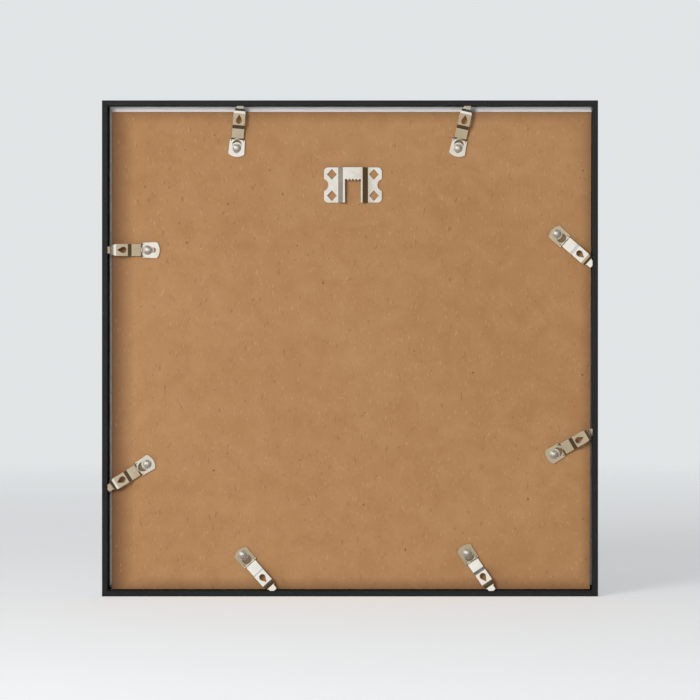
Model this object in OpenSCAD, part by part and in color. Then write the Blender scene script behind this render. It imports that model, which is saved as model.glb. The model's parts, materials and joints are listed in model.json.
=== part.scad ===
// Square picture frame, built from its back: four mitred rails, corner keys in the rear groove,
// glazing, mat, insert sheet and a hardboard backing board, a sawtooth hanger pressed into the
// board, and eight spring turn clips that swivel and slide on dome rivets.
// The picture faces -Y and the wall faces +Y. Left and right are as seen from the back, so left
// is +X. Z starts at the underside of the bottom rail, and Y is zero at the middle of the depth.

/* [Rails] */
// Overall width of the frame
frame_w = 330; // [260:1:600]
// Overall height of the frame
frame_h = 330; // [260:1:600]
// Width of a rail, from its outer face to the rebate
rail_w = 3.7; // [3.2:0.1:6]
// Thickness of a rail's outer wall
outer_wall = 1.1; // [0.8:0.1:1.3]
// Thickness of a rail's wall at the rebate
inner_wall = 1.1; // [0.8:0.1:1.3]
// How far the front lip covers the glazing
lip_cover = 3; // [2:0.1:8]
// Thickness of the front lip
lip_t = 1.4; // [1:0.1:3]
// Thickness of the rear flange that the clip tips press against
flange_t = 1.2; // [0.8:0.1:2]
// Height of the groove that the clip tips enter
groove_h = 2.4; // [1.6:0.1:3]
// Thickness of the ledge between the groove and the hollow of the rail
ledge_t = 1; // [0.8:0.1:1.5]
// Bevel along the long edges of a rail
edge_bevel = 0.3; // [0.1:0.05:0.5]

/* [Corner keys] */
// Length of a key's arm, from the frame's outer corner
key_arm_l = 15; // [10:0.5:25]
// Gap between a key and the walls of its groove
key_gap = 0.05; // [0.02:0.01:0.1]
// How far a key lies back from the mouth of the groove
key_set = 0.2; // [0.1:0.1:0.5]
// Radius of the web in a key's inner corner
key_web_r = 2.6; // [1:0.1:5]
// Distance of a stake mark from the frame's outer corner
stake_in = 11.8; // [8:0.1:14]
// Radius of a stake mark at the surface
stake_r = 0.5; // [0.3:0.05:0.8]
// Depth of a stake mark
stake_depth = 0.6; // [0.3:0.05:0.75]

/* [Picture stack] */
// Thickness of the glazing
glazing_t = 1.6; // [1:0.1:3]
// Gap between the glazing and the rebate, on each side
glazing_gap = 0.5; // [0.2:0.1:1]
// Thickness of the mat
mat_t = 1.6; // [1:0.1:3]
// Width of the mat's border round its window
mat_border = 45; // [20:1:80]
// How far the mat's bevel runs in from the picture side
mat_bevel = 1.4; // [0.5:0.1:3]
// Thickness of the insert sheet
sheet_t = 0.4; // [0.2:0.1:1]
// Gap between the mat and insert sheet and the left rebate
sheet_gap_left = 1; // [0.2:0.1:2.4]
// Gap between the mat and insert sheet and the right rebate
sheet_gap_right = 0.1; // [0.1:0.05:0.4]
// Gap between the mat and insert sheet and the top rebate
sheet_gap_top = 0.1; // [0.1:0.1:1.5]
// Gap between the mat and insert sheet and the bottom rebate
sheet_gap_bottom = 3.5; // [0.5:0.1:4]

/* [Backing board] */
// Thickness of the backing board
board_t = 3; // [2.6:0.1:6]
// Depth of the recess between the board and the wall
recess_d = 6; // [5.4:0.1:12]
// Gap between the board and the left rebate
board_gap_left = 2.6; // [2.5:0.1:4]
// Gap between the board and the right rebate, at the board's top
board_gap_right = 0.2; // [0.1:0.1:2]
// Gap between the board and the top rebate
board_gap_top = 3.5; // [2:0.1:6]
// Gap between the board and the bottom rebate
board_gap_bottom = 0.8; // [0.1:0.1:3]
// How much the board narrows towards its bottom edge, where its cut is out of square
board_taper = 1.1; // [0.1:0.1:2]

/* [Turn clips] */
// Thickness of a clip's spring steel
clip_t = 0.6; // [0.4:0.05:0.8]
// Length of a clip from the keyhole's large circle to its tip
clip_reach = 27.6; // [25:0.1:34]
// Length of a clip's head behind the keyhole's large circle
clip_back = 8.3; // [7.8:0.1:10]
// Distance between the keyhole's large and small circles
keyhole_travel = 4.2; // [3.6:0.1:4.6]
// Gap between a rivet's shank and the sides of the keyhole's slot
keyhole_gap = 0.15; // [0.1:0.05:0.3]
// Width of a clip's head at its rounded end
head_w = 10.9; // [10:0.1:13]
// Width of a clip's head where the strip bends up from it
head_neck_w = 10; // [9:0.1:12]
// Radius of the head's rounded end
head_end_r = 8.5; // [7:0.1:14]
// Width of a clip's strip
strip_w = 8; // [7:0.1:9]
// Width of a clip's tip
tip_w = 4.6; // [4:0.1:5.4]
// Width of a clip where its flare meets the tip
flare_w = 5.8; // [5.5:0.1:7]
// Radius of the round end of the drop-shaped hole
drop_r = 2.1; // [1.2:0.1:2.6]
// Length of the drop-shaped hole's point, from the middle of its round end
drop_l = 4; // [3:0.1:4.4]
// Width of the slits beside the strip's bend
slit_w = 0.35; // [0.2:0.05:0.6]
// Length of the slits beside the strip's bend
slit_l = 1.8; // [1:0.1:2.4]
// Gap between a clip's head, the collar under it and the board
seat_gap = 0.05; // [0.03:0.01:0.1]
// Gap between a clip's tip and the rear flange
tip_gap = 0.1; // [0.05:0.05:0.3]

/* [Rivets] */
// Radius of a rivet's shank
rivet_r = 1.5; // [1.2:0.05:1.7]
// Radial gap between a shank and its hole in the board
rivet_gap = 0.06; // [0.03:0.01:0.1]
// Radius of the cone-shaped collar that a clip rests on
collar_r = 3.9; // [3:0.1:4]
// Height of the collar
collar_t = 0.3; // [0.2:0.05:0.5]
// Radius of a rivet's dome
dome_r = 2.9; // [2.2:0.05:3]
// Height of the rim under a rivet's dome
dome_rim = 0.3; // [0.2:0.05:0.6]
// Height of a rivet's dome above its rim
dome_h = 1.7; // [0.8:0.1:2]
// Gap between a rivet's dome and the keyhole's large circle
dome_gap = 0.2; // [0.1:0.05:0.25]
// Radius of a rivet's clinched tail
tail_r = 2.6; // [2:0.1:3.5]
// Thickness of a rivet's clinched tail
tail_t = 0.7; // [0.4:0.1:1]
// Gap round a rivet's tail in its counterbore
tail_gap = 0.15; // [0.1:0.05:0.3]

/* [Hanger] */
// Width of the hanger over its two plates
hanger_w = 38.6; // [36:0.1:50]
// Height of the hanger
hanger_h = 23.6; // [22:0.1:30]
// Thickness of the hanger's sheet
hanger_t = 0.8; // [0.5:0.1:1.2]
// Height of the space under the hanger's bridge
hanger_rise = 2.6; // [2:0.1:3.4]
// Width of the strips beside the nail slot
bridge_strip_w = 1.35; // [1:0.05:1.9]
// Height of the band above the nail slot
band_h = 8; // [5:0.1:10]
// Number of teeth along the band
tooth_count = 4; // [2:1:6]
// Height of a tooth
tooth_h = 1.1; // [0.6:0.1:1.8]
// Radius of the plates' outer corners
plate_corner_r = 2.8; // [1:0.1:3.2]
// Radius of the scallop in each plate's outer edge
scallop_r = 4; // [2:0.1:4.2]
// How far the middle of a scallop lies outside the plate's edge
scallop_out = 1.1; // [0.8:0.1:2]
// Distance of the pronged holes above and below the hanger's middle
prong_up = 7.1; // [6.5:0.1:7.5]
// Half the height of a pronged hole
prong_half_h = 3.5; // [2:0.1:3.8]
// Distance from the board's top edge down to the hanger
hanger_drop = 37.1; // [20:0.1:60]
// How far the hanger lies to the right of the frame's middle
hanger_right = 1.95; // [0:0.05:6]

/* [Hidden] */

// Curves are round to the eye and stay true circles
$fn = 64;

// Every cut runs past its face by this much
overrun = 1;

// Depth of the frame, and where each layer's front face lies
frame_d = lip_t + glazing_t + mat_t + sheet_t + board_t + recess_d;
rear_y = frame_d / 2;
front_y = -rear_y;
glazing_y = front_y + lip_t;
mat_y = glazing_y + glazing_t;
sheet_y = mat_y + mat_t;
board_y = sheet_y + sheet_t;
board_back_y = board_y + board_t;

// Rebate that holds the layers
rebate_x = frame_w / 2 - rail_w;
rebate_top = frame_h - rail_w;
rebate_w = 2 * rebate_x;
rebate_h = frame_h - 2 * rail_w;

// Rail section
lip_w = rail_w + lip_cover;
groove_top_y = rear_y - flange_t;
groove_floor_y = groove_top_y - groove_h;
groove_depth = rail_w - outer_wall;
hollow_top_y = groove_floor_y - ledge_t;

// Backing board
board_left_x = rebate_x - board_gap_left;
board_right_x = -rebate_x + board_gap_right;
board_top_z = rebate_top - board_gap_top;
board_bottom_z = rail_w + board_gap_bottom;

// Mat and insert sheet, which share an outline
sheet_left_x = rebate_x - sheet_gap_left;
sheet_right_x = -rebate_x + sheet_gap_right;
sheet_bottom_z = rail_w + sheet_gap_bottom;
sheet_top_z = rebate_top - sheet_gap_top;

// Rivet heights are measured from the board's back face
counterbore_d = tail_t + seat_gap + tail_gap;
seat_h = collar_t + 2 * seat_gap;
dome_base = seat_h + clip_t + seat_gap;
tail_top = -board_t + counterbore_d - seat_gap;
dome_ball_r = (dome_r * dome_r + dome_h * dome_h) / (2 * dome_h);

// Places along a clip, as shares of its reach
bend_share = 0.118;
neck_share = 0.138;
crease_share = 0.152;
knee_share = 0.382;
step_share = 0.457;
flare_share = 0.745;
lip_share = 0.802;
root_share = 0.862;
tip_share = 0.88;
drop_share = 0.569;
// Height of the strip at those places, as shares of the tip's height
crease_h_share = 0.24;
knee_h_share = 0.42;
step_h_share = 0.9;
flare_h_share = 1.13;
lip_h_share = 1.12;
root_h_share = 0.84;
tip_h_share = 0.89;
tip_bevel_share = 0.12;
// Tip height that leaves the tip just under the rear flange
tip_h = recess_d - flange_t - tip_gap - clip_t;
keyhole_r = dome_r + dome_gap;
slot_r = rivet_r + keyhole_gap;

// Which way each clip's rail lies from the middle of the frame, as an angle up from +X
LEFT = 0;
TOP = 90;
RIGHT = 180;
BOTTOM = 270;
clip_rails = [TOP, TOP, LEFT, LEFT, BOTTOM, BOTTOM, RIGHT, RIGHT];
// How far each clip is turned from square to its rail, anticlockwise towards +Z, in degrees
clip_turns = [5, 12.4, 0, -32, -42, -34.5, 42, -31];
// Where each rivet lies along its rail from the middle, towards +X or +Z, as a share
clip_along_shares = [0.234, -0.2235, 0.203, -0.239, 0.222, -0.242, 0.237, -0.219];
// How far each clip is pushed out along its keyhole, as a share of the travel
clip_out_shares = [0.57, 0.62, 0.12, 0.81, 1, 0.6, 1, 0.67];
// How far the leading corner of each clip's tip reaches into the groove, as a share of its depth
clip_bite_shares = [0.88, 0.78, 0.54, 0.54, 0.54, 0.54, 0.66, 0.77];

// Parts of the hanger across it, as shares of its width
bridge_share = 66 / 193;
plate_share = 47 / 193;
prong_side_share = 70 / 193;
prong_half_share = 16 / 193;

// Hanger, measured from its own middle
bridge_w = bridge_share * hanger_w;
plate_w = plate_share * hanger_w;
prong_side = prong_side_share * hanger_w;
prong_half_w = prong_half_share * hanger_w;
slot_w = bridge_w - 2 * bridge_strip_w;
hanger_z = board_top_z - hanger_drop - hanger_h / 2;
tooth_pitch = slot_w / (tooth_count + 2 / 3);
tooth_root_z = hanger_h / 2 - band_h;
prong_side_l = norm([prong_half_w, prong_half_h]);
prong_depth = prong_half_w * prong_half_h / prong_side_l;

// Distance from a clip's rivet to the rebate, so that its tip bites by its share
function rivet_in(i) =
    (clip_reach + clip_out_shares[i] * keyhole_travel) * cos(clip_turns[i])
    + tip_w / 2 * abs(sin(clip_turns[i])) - clip_bite_shares[i] * groove_depth;

// Rivet place in X and Z
function rivet_x(i) =
    clip_rails[i] == LEFT ? rebate_x - rivet_in(i)
    : clip_rails[i] == RIGHT ? rivet_in(i) - rebate_x
    : clip_along_shares[i] * rebate_w;
function rivet_z(i) =
    clip_rails[i] == TOP ? rebate_top - rivet_in(i)
    : clip_rails[i] == BOTTOM ? rail_w + rivet_in(i)
    : frame_h / 2 + clip_along_shares[i] * rebate_h;

// Stands a flat outline drawn in X and Z up between two depths
module slab(from_y, to_y) {
    translate([0, to_y, 0]) rotate([90, 0, 0]) linear_extrude(to_y - from_y) children();
}

// Puts something drawn flat, with its height along Z, on the board's back at a rivet
module on_rivet(i, turn = 0) {
    translate([rivet_x(i), board_back_y, rivet_z(i)])
        rotate([0, -turn, 0]) rotate([-90, 0, 0]) children();
}

// Section of a rail: X runs inwards from the outer face, Y is the depth
module rail_section() {
    difference() {
        polygon([
            [edge_bevel, front_y], [lip_w - edge_bevel, front_y], [lip_w, front_y + edge_bevel],
            [lip_w, glazing_y], [rail_w, glazing_y],
            [rail_w, rear_y - edge_bevel], [rail_w - edge_bevel, rear_y],
            [edge_bevel, rear_y], [0, rear_y - edge_bevel], [0, front_y + edge_bevel]
        ]);
        translate([outer_wall, glazing_y])
            square([rail_w - outer_wall - inner_wall, hollow_top_y - glazing_y]);
        translate([outer_wall, groove_floor_y])
            square([rail_w - outer_wall + overrun, groove_h]);
    }
}

// Mitred rail along X, its outer face on Z zero and its lip towards +Z
module rail(rail_l, staked = false) {
    mitre_w = lip_w + overrun;
    color([0.16, 0.16, 0.17]) difference() {
        intersection() {
            translate([rail_l / 2, 0, 0]) rotate([0, -90, 0]) linear_extrude(rail_l) rail_section();
            slab(front_y - overrun, rear_y + overrun) polygon([
                [-rail_l / 2, 0], [rail_l / 2, 0],
                [rail_l / 2 - mitre_w, mitre_w], [mitre_w - rail_l / 2, mitre_w]
            ]);
        }
        if (staked) for (side = [-1, 1])
            translate([side * (rail_l / 2 - stake_in), rear_y, (outer_wall + rail_w) / 2])
                rotate([90, 0, 0]) cylinder(h = stake_depth, r1 = stake_r, r2 = stake_r / 3);
    }
}

module rail_bottom() rail(frame_w, staked = true);
module rail_top() translate([0, 0, frame_h]) rotate([0, 180, 0]) rail(frame_w);
module rail_left() translate([frame_w / 2, 0, frame_h / 2]) rotate([0, -90, 0]) rail(frame_h);
module rail_right() translate([-frame_w / 2, 0, frame_h / 2]) rotate([0, 90, 0]) rail(frame_h);

// Corner key with its arms along +X and +Z from the outer corner
module corner_key() {
    arm_out = outer_wall + key_gap;
    arm_in = rail_w - key_set;
    color([0.1, 0.1, 0.11]) slab(groove_floor_y + key_gap, groove_top_y - key_gap) {
        translate([arm_out, arm_out]) square([key_arm_l - arm_out, arm_in - arm_out]);
        translate([arm_out, arm_out]) square([arm_in - arm_out, key_arm_l - arm_out]);
        translate([arm_in, arm_in]) difference() {
            square(key_web_r);
            translate([key_web_r, key_web_r]) circle(key_web_r);
        }
    }
}

// Corner key in the corner that lies to one side, at the foot of the frame or its top
module place_key(x_side, top) {
    turns = x_side > 0 ? (top ? 180 : -90) : (top ? 90 : 0);
    translate([x_side * frame_w / 2, 0, top ? frame_h : 0]) rotate([0, turns, 0]) corner_key();
}

module glazing() {
    color([0.8, 0.88, 0.9, 0.4]) slab(glazing_y, mat_y)
        translate([glazing_gap - rebate_x, rail_w])
            square([rebate_w - 2 * glazing_gap, rebate_h - 2 * glazing_gap]);
}

// Outline of the mat and the insert sheet
module sheet_outline() {
    translate([sheet_right_x, sheet_bottom_z])
        square([sheet_left_x - sheet_right_x, sheet_top_z - sheet_bottom_z]);
}

// Section of the mat's window across half its width, opening towards the picture side
module window_section(half_w) {
    far = mat_bevel * overrun / mat_t;
    polygon([
        [-half_w - mat_bevel - far, mat_y - overrun], [half_w + mat_bevel + far, mat_y - overrun],
        [half_w - far, sheet_y + overrun], [far - half_w, sheet_y + overrun]
    ]);
}

module mat() {
    half_w = frame_w / 2 - rail_w - mat_border;
    half_h = frame_h / 2 - rail_w - mat_border;
    color([0.95, 0.94, 0.91]) difference() {
        slab(mat_y, sheet_y) sheet_outline();
        intersection() {
            linear_extrude(frame_h) window_section(half_w);
            translate([-frame_w / 2, 0, frame_h / 2])
                rotate([0, 90, 0]) linear_extrude(frame_w) window_section(half_h);
        }
    }
}

module insert_sheet() {
    color([0.93, 0.93, 0.92]) slab(sheet_y, board_y) sheet_outline();
}

module backing_board() {
    color([0.69, 0.5, 0.34]) difference() {
        slab(board_y, board_back_y) polygon([
            [board_right_x + board_taper, board_bottom_z], [board_left_x, board_bottom_z],
            [board_left_x, board_top_z], [board_right_x, board_top_z]
        ]);
        for (i = [0 : len(clip_rails) - 1]) on_rivet(i) {
            translate([0, 0, -board_t - overrun])
                cylinder(h = board_t + 2 * overrun, r = rivet_r + rivet_gap);
            translate([0, 0, -board_t - overrun])
                cylinder(h = counterbore_d + overrun, r = tail_r + tail_gap);
        }
    }
}

// Sawtooth edge of the nail slot, with its teeth pointing down from the band
module nail_slot() {
    difference() {
        translate([-slot_w / 2, -hanger_h / 2 - overrun])
            square([slot_w, tooth_root_z + hanger_h / 2 + overrun]);
        for (t = [0 : tooth_count - 1])
            translate([(t - (tooth_count - 1) / 2) * tooth_pitch, tooth_root_z])
                polygon([
                    [-tooth_pitch / 3, overrun], [-tooth_pitch / 3, 0], [0, -tooth_h],
                    [tooth_pitch / 3, 0], [tooth_pitch / 3, overrun]
                ]);
    }
}

// Flat outline of the hanger, in X and Z from its middle
module hanger_outline() {
    core_w = hanger_w / 2 - plate_corner_r;
    core_h = hanger_h / 2 - plate_corner_r;
    difference() {
        union() {
            square([hanger_w, 2 * core_h], center = true);
            square([2 * core_w, hanger_h], center = true);
            for (x = [-1, 1], z = [-1, 1]) translate([x * core_w, z * core_h]) circle(plate_corner_r);
        }
        nail_slot();
        for (x = [-1, 1]) {
            translate([x * (hanger_w / 2 + scallop_out), 0]) circle(scallop_r);
            for (z = [-1, 1]) translate([x * prong_side, z * prong_up])
                polygon([[prong_half_w, 0], [0, prong_half_h], [-prong_half_w, 0], [0, -prong_half_h]]);
        }
    }
}

// Hat section of the hanger, in X and Y from the board
module hanger_section() {
    outer = hanger_w / 2 + overrun;
    foot = hanger_w / 2 - plate_w;
    flat = bridge_w / 2;
    polygon([
        [-outer, 0], [-foot, 0], [-flat, hanger_rise], [flat, hanger_rise], [foot, 0], [outer, 0],
        [outer, hanger_t], [foot, hanger_t], [flat, hanger_rise + hanger_t],
        [-flat, hanger_rise + hanger_t], [-foot, hanger_t], [-outer, hanger_t]
    ]);
}

// Pointed prong bent down into the board from the upper left side of a pronged hole
module prong() {
    translate([prong_half_w, 0, 0]) rotate([0, -atan2(prong_half_h, -prong_half_w), 0])
        translate([0, 0, -hanger_t]) linear_extrude(hanger_t)
            polygon([[0, 0], [prong_side_l, 0], [prong_side_l / 2, -prong_depth]]);
}

module sawtooth_hanger() {
    color([0.8, 0.8, 0.78]) translate([-hanger_right, board_back_y, hanger_z]) {
        intersection() {
            slab(-overrun, hanger_rise + hanger_t + overrun) hanger_outline();
            translate([0, 0, -hanger_h / 2]) linear_extrude(hanger_h) hanger_section();
        }
        for (x = [-1, 1], z = [-1, 1], flip_x = [0, 1], flip_z = [0, 1])
            translate([x * prong_side, 0, z * prong_up])
                mirror([flip_x, 0, 0]) mirror([0, 0, flip_z]) prong();
    }
}

// Plan of a clip: its tip points along +X from the keyhole's large circle
module clip_plan() {
    neck = neck_share * clip_reach;
    flare = flare_share * clip_reach;
    tip = tip_share * clip_reach;
    bevel = tip_bevel_share * tip_w;
    half = [
        [-clip_back, head_w / 2], [neck, head_neck_w / 2], [neck, strip_w / 2],
        [flare, strip_w / 2], [tip, flare_w / 2], [tip, tip_w / 2],
        [clip_reach - bevel, tip_w / 2], [clip_reach, tip_w / 2 - bevel]
    ];
    difference() {
        polygon(concat(half, [for (k = [len(half) - 1 : -1 : 0]) [half[k].x, -half[k].y]]));
        difference() {
            translate([-clip_back - overrun, -head_w]) square([head_end_r + overrun, 2 * head_w]);
            translate([head_end_r - clip_back, 0]) circle(head_end_r);
        }
    }
}

// Keyhole, drop-shaped hole and the slits beside the bend
module clip_holes() {
    neck = neck_share * clip_reach;
    drop = drop_share * clip_reach;
    tangent = acos(drop_r / drop_l);
    circle(keyhole_r);
    translate([-keyhole_travel, 0]) circle(slot_r);
    translate([-keyhole_travel, -slot_r]) square([keyhole_travel, 2 * slot_r]);
    translate([drop, 0]) {
        circle(drop_r);
        polygon([
            [drop_l, 0], drop_r * [cos(tangent), sin(tangent)], drop_r * [cos(tangent), -sin(tangent)]
        ]);
    }
    for (side = [-1, 1]) translate([neck - slit_l, (side * strip_w - slit_w) / 2])
        square([slit_l, slit_w]);
}

// Side of a clip, bent up from the board and stepped down to its tip: X along it, Y the height
module clip_side() {
    places = clip_reach
        * [
            bend_share, crease_share, knee_share, step_share, flare_share,
            lip_share, root_share, tip_share, 1
        ];
    heights = [
        0, crease_h_share, knee_h_share, step_h_share, flare_h_share,
        lip_h_share, root_h_share, tip_h_share, 1
    ];
    under = concat(
        [[-clip_back - overrun, seat_h]],
        [for (k = [0 : len(places) - 1]) [places[k], seat_h + heights[k] * (tip_h - seat_h)]],
        [[clip_reach + overrun, tip_h]]
    );
    over = [for (k = [len(under) - 1 : -1 : 0]) under[k] + [0, clip_t]];
    polygon(concat(under, over));
}

module clip(i) {
    color([0.82, 0.82, 0.8]) on_rivet(i, clip_rails[i] + clip_turns[i])
        translate([clip_out_shares[i] * keyhole_travel, 0, 0]) intersection() {
            linear_extrude(recess_d) difference() {
                clip_plan();
                clip_holes();
            }
            translate([0, head_w, 0]) rotate([90, 0, 0]) linear_extrude(2 * head_w) clip_side();
        }
}

module rivet(i) {
    color([0.86, 0.86, 0.84]) on_rivet(i) {
        translate([0, 0, tail_top - tail_t]) cylinder(h = tail_t, r = tail_r);
        translate([0, 0, tail_top - tail_t]) cylinder(h = dome_base + tail_t - tail_top, r = rivet_r);
        translate([0, 0, seat_gap]) cylinder(h = collar_t, r1 = collar_r, r2 = rivet_r + slot_r / 4);
        translate([0, 0, dome_base]) cylinder(h = dome_rim, r = dome_r);
        translate([0, 0, dome_base]) intersection() {
            translate([0, 0, dome_rim + dome_h - dome_ball_r]) sphere(dome_ball_r);
            cylinder(h = dome_rim + dome_h, r = dome_r);
        }
    }
}

rail_top();
rail_bottom();
rail_left();
rail_right();
place_key(1, true);  // corner_key_top_left
place_key(-1, true);  // corner_key_top_right
place_key(1, false);  // corner_key_bottom_left
place_key(-1, false);  // corner_key_bottom_right
glazing();
mat();
insert_sheet();
backing_board();
sawtooth_hanger();
clip(0);  // clip_top_left
clip(1);  // clip_top_right
clip(2);  // clip_left_upper
clip(3);  // clip_left_lower
clip(4);  // clip_bottom_left
clip(5);  // clip_bottom_right
clip(6);  // clip_right_upper
clip(7);  // clip_right_lower
rivet(0);  // rivet_top_left
rivet(1);  // rivet_top_right
rivet(2);  // rivet_left_upper
rivet(3);  // rivet_left_lower
rivet(4);  // rivet_bottom_left
rivet(5);  // rivet_bottom_right
rivet(6);  // rivet_right_upper
rivet(7);  // rivet_right_lower
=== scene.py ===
"""Looks of a thin square picture frame, seen from the back that its turn clips hold shut.

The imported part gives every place. Rails, keys, board and glazing are copies of their solids with
broken edges, and the mat and the insert sheet are the solids themselves. Hanger, clips and rivets
are made again by Geometry Nodes, so that their bends and domes are round, and each one stands
where its solid is. X runs to the left of the picture, Z up, and the frame's back faces +Y.
"""

import json
import logging
import math
from dataclasses import dataclass
from enum import Enum
from typing import Any, Iterable, Sequence

import bmesh
import bpy
from mathutils import Matrix, Vector

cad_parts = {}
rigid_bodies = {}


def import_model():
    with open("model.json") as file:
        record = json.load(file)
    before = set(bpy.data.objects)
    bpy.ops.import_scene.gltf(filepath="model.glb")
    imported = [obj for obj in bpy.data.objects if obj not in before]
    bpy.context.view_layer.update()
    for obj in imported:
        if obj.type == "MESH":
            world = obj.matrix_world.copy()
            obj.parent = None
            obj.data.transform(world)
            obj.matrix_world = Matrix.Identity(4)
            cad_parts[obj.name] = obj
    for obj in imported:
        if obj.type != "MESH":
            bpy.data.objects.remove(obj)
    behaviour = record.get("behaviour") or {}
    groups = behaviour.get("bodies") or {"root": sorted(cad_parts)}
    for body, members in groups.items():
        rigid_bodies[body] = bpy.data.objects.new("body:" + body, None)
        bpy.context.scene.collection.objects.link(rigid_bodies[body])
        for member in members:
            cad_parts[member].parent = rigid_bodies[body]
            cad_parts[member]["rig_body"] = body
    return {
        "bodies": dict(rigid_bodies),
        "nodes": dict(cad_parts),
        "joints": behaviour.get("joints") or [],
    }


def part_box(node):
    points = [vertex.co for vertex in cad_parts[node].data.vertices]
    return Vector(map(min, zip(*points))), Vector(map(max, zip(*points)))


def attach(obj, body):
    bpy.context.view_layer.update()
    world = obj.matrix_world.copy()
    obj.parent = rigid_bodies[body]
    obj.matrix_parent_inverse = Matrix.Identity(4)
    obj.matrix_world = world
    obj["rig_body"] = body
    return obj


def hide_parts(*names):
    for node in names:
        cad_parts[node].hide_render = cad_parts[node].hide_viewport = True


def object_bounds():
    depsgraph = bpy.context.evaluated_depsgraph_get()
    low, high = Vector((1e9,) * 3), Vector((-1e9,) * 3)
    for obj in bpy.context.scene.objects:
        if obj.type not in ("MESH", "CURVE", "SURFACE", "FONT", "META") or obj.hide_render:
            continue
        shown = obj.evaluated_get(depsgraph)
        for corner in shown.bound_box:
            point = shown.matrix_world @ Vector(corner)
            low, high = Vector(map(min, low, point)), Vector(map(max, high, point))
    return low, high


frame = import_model()
CAD_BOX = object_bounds()
MIDDLE = (CAD_BOX[0] + CAD_BOX[1]) / 2
LOG = logging.getLogger("picture_frame")
MM = 0.001
SOLID_WELD = 0.002 * MM
SHEET_WELD = 0.02 * MM
NARROW_WELD = 0.001 * MM
FLAT_DEGREES = 0.5
BEVEL_STEPS = 2
NOISE_SPAN = (0.3, 0.7)
MIX_FACTOR, MIX_FIRST, MIX_SECOND, MIX_RESULT = 0, 6, 7, 2

Pair = tuple[float, float]
Point = tuple[float, float]
Corner = tuple[Point, float]
Place = tuple[float, float, float]
Colour = tuple[float, float, float]


class Slot(Enum):
    """Material slots of the record, by name; no piece takes its finish from them."""

    FRAME = "frame_metal"
    KEY = "key_metal"
    GLAZING = "glazing"
    MAT = "mat_board"
    PAPER = "insert_paper"
    BOARD = "hardboard"
    HANGER = "hanger_steel"
    CLIP = "spring_steel"
    RIVET = "rivet_steel"


class NodeBuilder:
    """Adds nodes to a tree and joins them, given what feeds each input."""

    def __init__(self, tree: bpy.types.NodeTree) -> None:
        """Keeps the tree.

        Args:
            tree: A shader or geometry tree, which may hold nodes already.
        """
        self.tree = tree

    def add(self, kind: str, inputs: dict[Any, Any] | None = None, **settings: Any) -> Any:
        """Adds one node.

        Args:
            kind: The node's class in Blender.
            inputs: Input names or numbers, each with a socket to join or a plain value.
            settings: Properties of the node itself.

        Returns:
            The new node.
        """
        node = self.tree.nodes.new(kind)
        for name, value in settings.items():
            setattr(node, name, value)
        for key, value in (inputs or {}).items():
            if isinstance(value, bpy.types.NodeSocket):
                self.tree.links.new(value, node.inputs[key])
            else:
                node.inputs[key].default_value = value
        return node

    def math(self, operation: str, *terms: Any, clamp: bool = False) -> Any:
        """Adds a Math node and returns its output.

        Args:
            operation: The node's operation, such as MULTIPLY.
            terms: Sockets or numbers, in order.
            clamp: Whether the result is kept between 0 and 1.

        Returns:
            The output socket.
        """
        node = self.add(
            "ShaderNodeMath", dict(enumerate(terms)), operation=operation, use_clamp=clamp
        )
        return node.outputs[0]

    def mix(self, factor: Any, first: Any, second: Any) -> Any:
        """Adds a colour Mix node and returns its output.

        Args:
            factor: Share of the second colour.
            first: The colour at factor 0.
            second: The colour at factor 1.

        Returns:
            The output socket.
        """
        inputs = {MIX_FACTOR: factor}
        for key, colour in ((MIX_FIRST, first), (MIX_SECOND, second)):
            plain = not isinstance(colour, bpy.types.NodeSocket)
            inputs[key] = (*colour, 1.0) if plain else colour
        return self.add("ShaderNodeMix", inputs, data_type="RGBA").outputs[MIX_RESULT]

    def span(self, value: Any, low: Any, high: Any, to_low: Any = 0.0, to_high: Any = 1.0) -> Any:
        """Maps a value from one range to another, clamped, and returns the output.

        Args:
            value: The socket to map.
            low: Start of its range.
            high: End of its range.
            to_low: What the start becomes.
            to_high: What the end becomes.

        Returns:
            The output socket.
        """
        node = self.add("ShaderNodeMapRange", {0: value, 1: low, 2: high, 3: to_low, 4: to_high})
        return node.outputs[0]


def spaced(label: str) -> str:
    """Turns a keyword into the name of a socket."""
    return label.replace("_", " ")


def new_group(name: str, **numbers: float) -> NodeBuilder:
    """Starts a shader node group with a Vector, named numbers and a Mask as its output.

    Args:
        name: The group's name.
        numbers: The numbers' default values, with underscores for spaces.

    Returns:
        A builder for the group's tree.
    """
    tree = bpy.data.node_groups.new(name, "ShaderNodeTree")
    face = tree.interface
    face.new_socket(name="Vector", in_out="INPUT", socket_type="NodeSocketVector")
    for label, value in numbers.items():
        socket = face.new_socket(
            name=spaced(label), in_out="INPUT", socket_type="NodeSocketFloat"
        )
        socket.default_value = value
    face.new_socket(name="Mask", in_out="OUTPUT", socket_type="NodeSocketFloat")
    return NodeBuilder(tree)


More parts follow.
